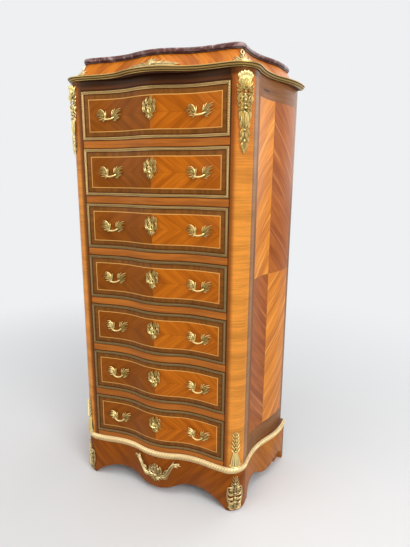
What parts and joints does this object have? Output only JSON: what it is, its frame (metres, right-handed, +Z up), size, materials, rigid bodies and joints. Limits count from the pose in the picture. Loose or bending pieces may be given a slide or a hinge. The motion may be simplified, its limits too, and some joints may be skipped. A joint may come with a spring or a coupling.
{
  "type": "semainier",
  "caption": "Tall narrow chest of drawers with serpentine front, flared sides, scalloped plinth, coved top and stone slab; sliding drawers with cast handles and lock bolts.",
  "frame": {"origin": "on the floor under the middle of the chest's overall box", "axes": "+Z up, drawers open towards -Y, +X to the right of someone facing the front"},
  "size_m": [0.746, 0.384, 1.4],
  "materials": {
    "carcass_wood": "dull old softwood and oak, unpolished",
    "post_veneer": "golden tulipwood veneer, French polished",
    "side_veneer": "herringbone tulipwood veneer, French polished",
    "rail_veneer": "orange-brown crossbanded veneer, French polished",
    "cove_veneer": "quarter-matched tulipwood veneer, French polished",
    "drawer_veneer": "quarter-matched tulipwood in a dark crossband, French polished",
    "drawer_lining": "oiled oak",
    "plinth_veneer": "crossbanded veneer, French polished",
    "marble": "polished red marble with pale veins",
    "aged_brass": "tarnished, ribbed",
    "gilt_moulding": "pale gilt, chased leaf",
    "gilt_bronze": "gilt, chased and worn on the high points",
    "lock_steel": "dull"
  },
  "bodies": {
    "carcass": {"carcass_bottom": "carcass_wood", "carcass_top": "carcass_wood", "corner_posts": "post_veneer", "side_panel_right": "side_veneer", "side_panel_left": "side_veneer", "back_panel": "carcass_wood", "drawer_rails": "rail_veneer", "drawer_runners": "carcass_wood", "top_cove": "cove_veneer", "marble_top": "marble", "base_moulding": "gilt_moulding", "cornice_moulding": "aged_brass", "plinth_front": "plinth_veneer", "plinth_frame": "plinth_veneer", "corner_mounts": "gilt_bronze", "foot_sabots": "gilt_bronze", "apron_mount": "gilt_bronze", "cove_mounts": "gilt_bronze"},
    "drawer_1": {"drawer_1_front": "drawer_veneer", "drawer_1_box": "drawer_lining", "drawer_1_moulding": "aged_brass", "drawer_1_lock": "lock_steel", "drawer_1_mounts": "gilt_bronze"},
    "bolt_1": {"drawer_1_bolt": "lock_steel"},
    "drawer_2": {"drawer_2_front": "drawer_veneer", "drawer_2_box": "drawer_lining", "drawer_2_moulding": "aged_brass", "drawer_2_lock": "lock_steel", "drawer_2_mounts": "gilt_bronze"},
    "bolt_2": {"drawer_2_bolt": "lock_steel"},
    "drawer_3": {"drawer_3_front": "drawer_veneer", "drawer_3_box": "drawer_lining", "drawer_3_moulding": "aged_brass", "drawer_3_lock": "lock_steel", "drawer_3_mounts": "gilt_bronze"},
    "bolt_3": {"drawer_3_bolt": "lock_steel"},
    "drawer_4": {"drawer_4_front": "drawer_veneer", "drawer_4_box": "drawer_lining", "drawer_4_moulding": "aged_brass", "drawer_4_lock": "lock_steel", "drawer_4_mounts": "gilt_bronze"},
    "bolt_4": {"drawer_4_bolt": "lock_steel"},
    "drawer_5": {"drawer_5_front": "drawer_veneer", "drawer_5_box": "drawer_lining", "drawer_5_moulding": "aged_brass", "drawer_5_lock": "lock_steel", "drawer_5_mounts": "gilt_bronze"},
    "bolt_5": {"drawer_5_bolt": "lock_steel"},
    "drawer_6": {"drawer_6_front": "drawer_veneer", "drawer_6_box": "drawer_lining", "drawer_6_moulding": "aged_brass", "drawer_6_lock": "lock_steel", "drawer_6_mounts": "gilt_bronze"},
    "bolt_6": {"drawer_6_bolt": "lock_steel"},
    "drawer_7": {"drawer_7_front": "drawer_veneer", "drawer_7_box": "drawer_lining", "drawer_7_moulding": "aged_brass", "drawer_7_lock": "lock_steel", "drawer_7_mounts": "gilt_bronze"},
    "bolt_7": {"drawer_7_bolt": "lock_steel"}
  },
  "joints": [
    {"name": "drawer_1_slide", "type": "slide", "parent": "carcass", "child": "drawer_1", "axis": [0, -1, 0], "range_m": [0, 0.23]},
    {"name": "bolt_1_throw", "type": "slide", "parent": "drawer_1", "child": "bolt_1", "axis": [0, 0, 1], "range_m": [0, 0.008]},
    {"name": "drawer_2_slide", "type": "slide", "parent": "carcass", "child": "drawer_2", "axis": [0, -1, 0], "range_m": [0, 0.23]},
    {"name": "bolt_2_throw", "type": "slide", "parent": "drawer_2", "child": "bolt_2", "axis": [0, 0, 1], "range_m": [0, 0.008]},
    {"name": "drawer_3_slide", "type": "slide", "parent": "carcass", "child": "drawer_3", "axis": [0, -1, 0], "range_m": [0, 0.23]},
    {"name": "bolt_3_throw", "type": "slide", "parent": "drawer_3", "child": "bolt_3", "axis": [0, 0, 1], "range_m": [0, 0.008]},
    {"name": "drawer_4_slide", "type": "slide", "parent": "carcass", "child": "drawer_4", "axis": [0, -1, 0], "range_m": [0, 0.23]},
    {"name": "bolt_4_throw", "type": "slide", "parent": "drawer_4", "child": "bolt_4", "axis": [0, 0, 1], "range_m": [0, 0.008]},
    {"name": "drawer_5_slide", "type": "slide", "parent": "carcass", "child": "drawer_5", "axis": [0, -1, 0], "range_m": [0, 0.23]},
    {"name": "bolt_5_throw", "type": "slide", "parent": "drawer_5", "child": "bolt_5", "axis": [0, 0, 1], "range_m": [0, 0.008]},
    {"name": "drawer_6_slide", "type": "slide", "parent": "carcass", "child": "drawer_6", "axis": [0, -1, 0], "range_m": [0, 0.23]},
    {"name": "bolt_6_throw", "type": "slide", "parent": "drawer_6", "child": "bolt_6", "axis": [0, 0, 1], "range_m": [0, 0.008]},
    {"name": "drawer_7_slide", "type": "slide", "parent": "carcass", "child": "drawer_7", "axis": [0, -1, 0], "range_m": [0, 0.23]},
    {"name": "bolt_7_throw", "type": "slide", "parent": "drawer_7", "child": "bolt_7", "axis": [0, 0, 1], "range_m": [0, 0.008]}
  ]
}
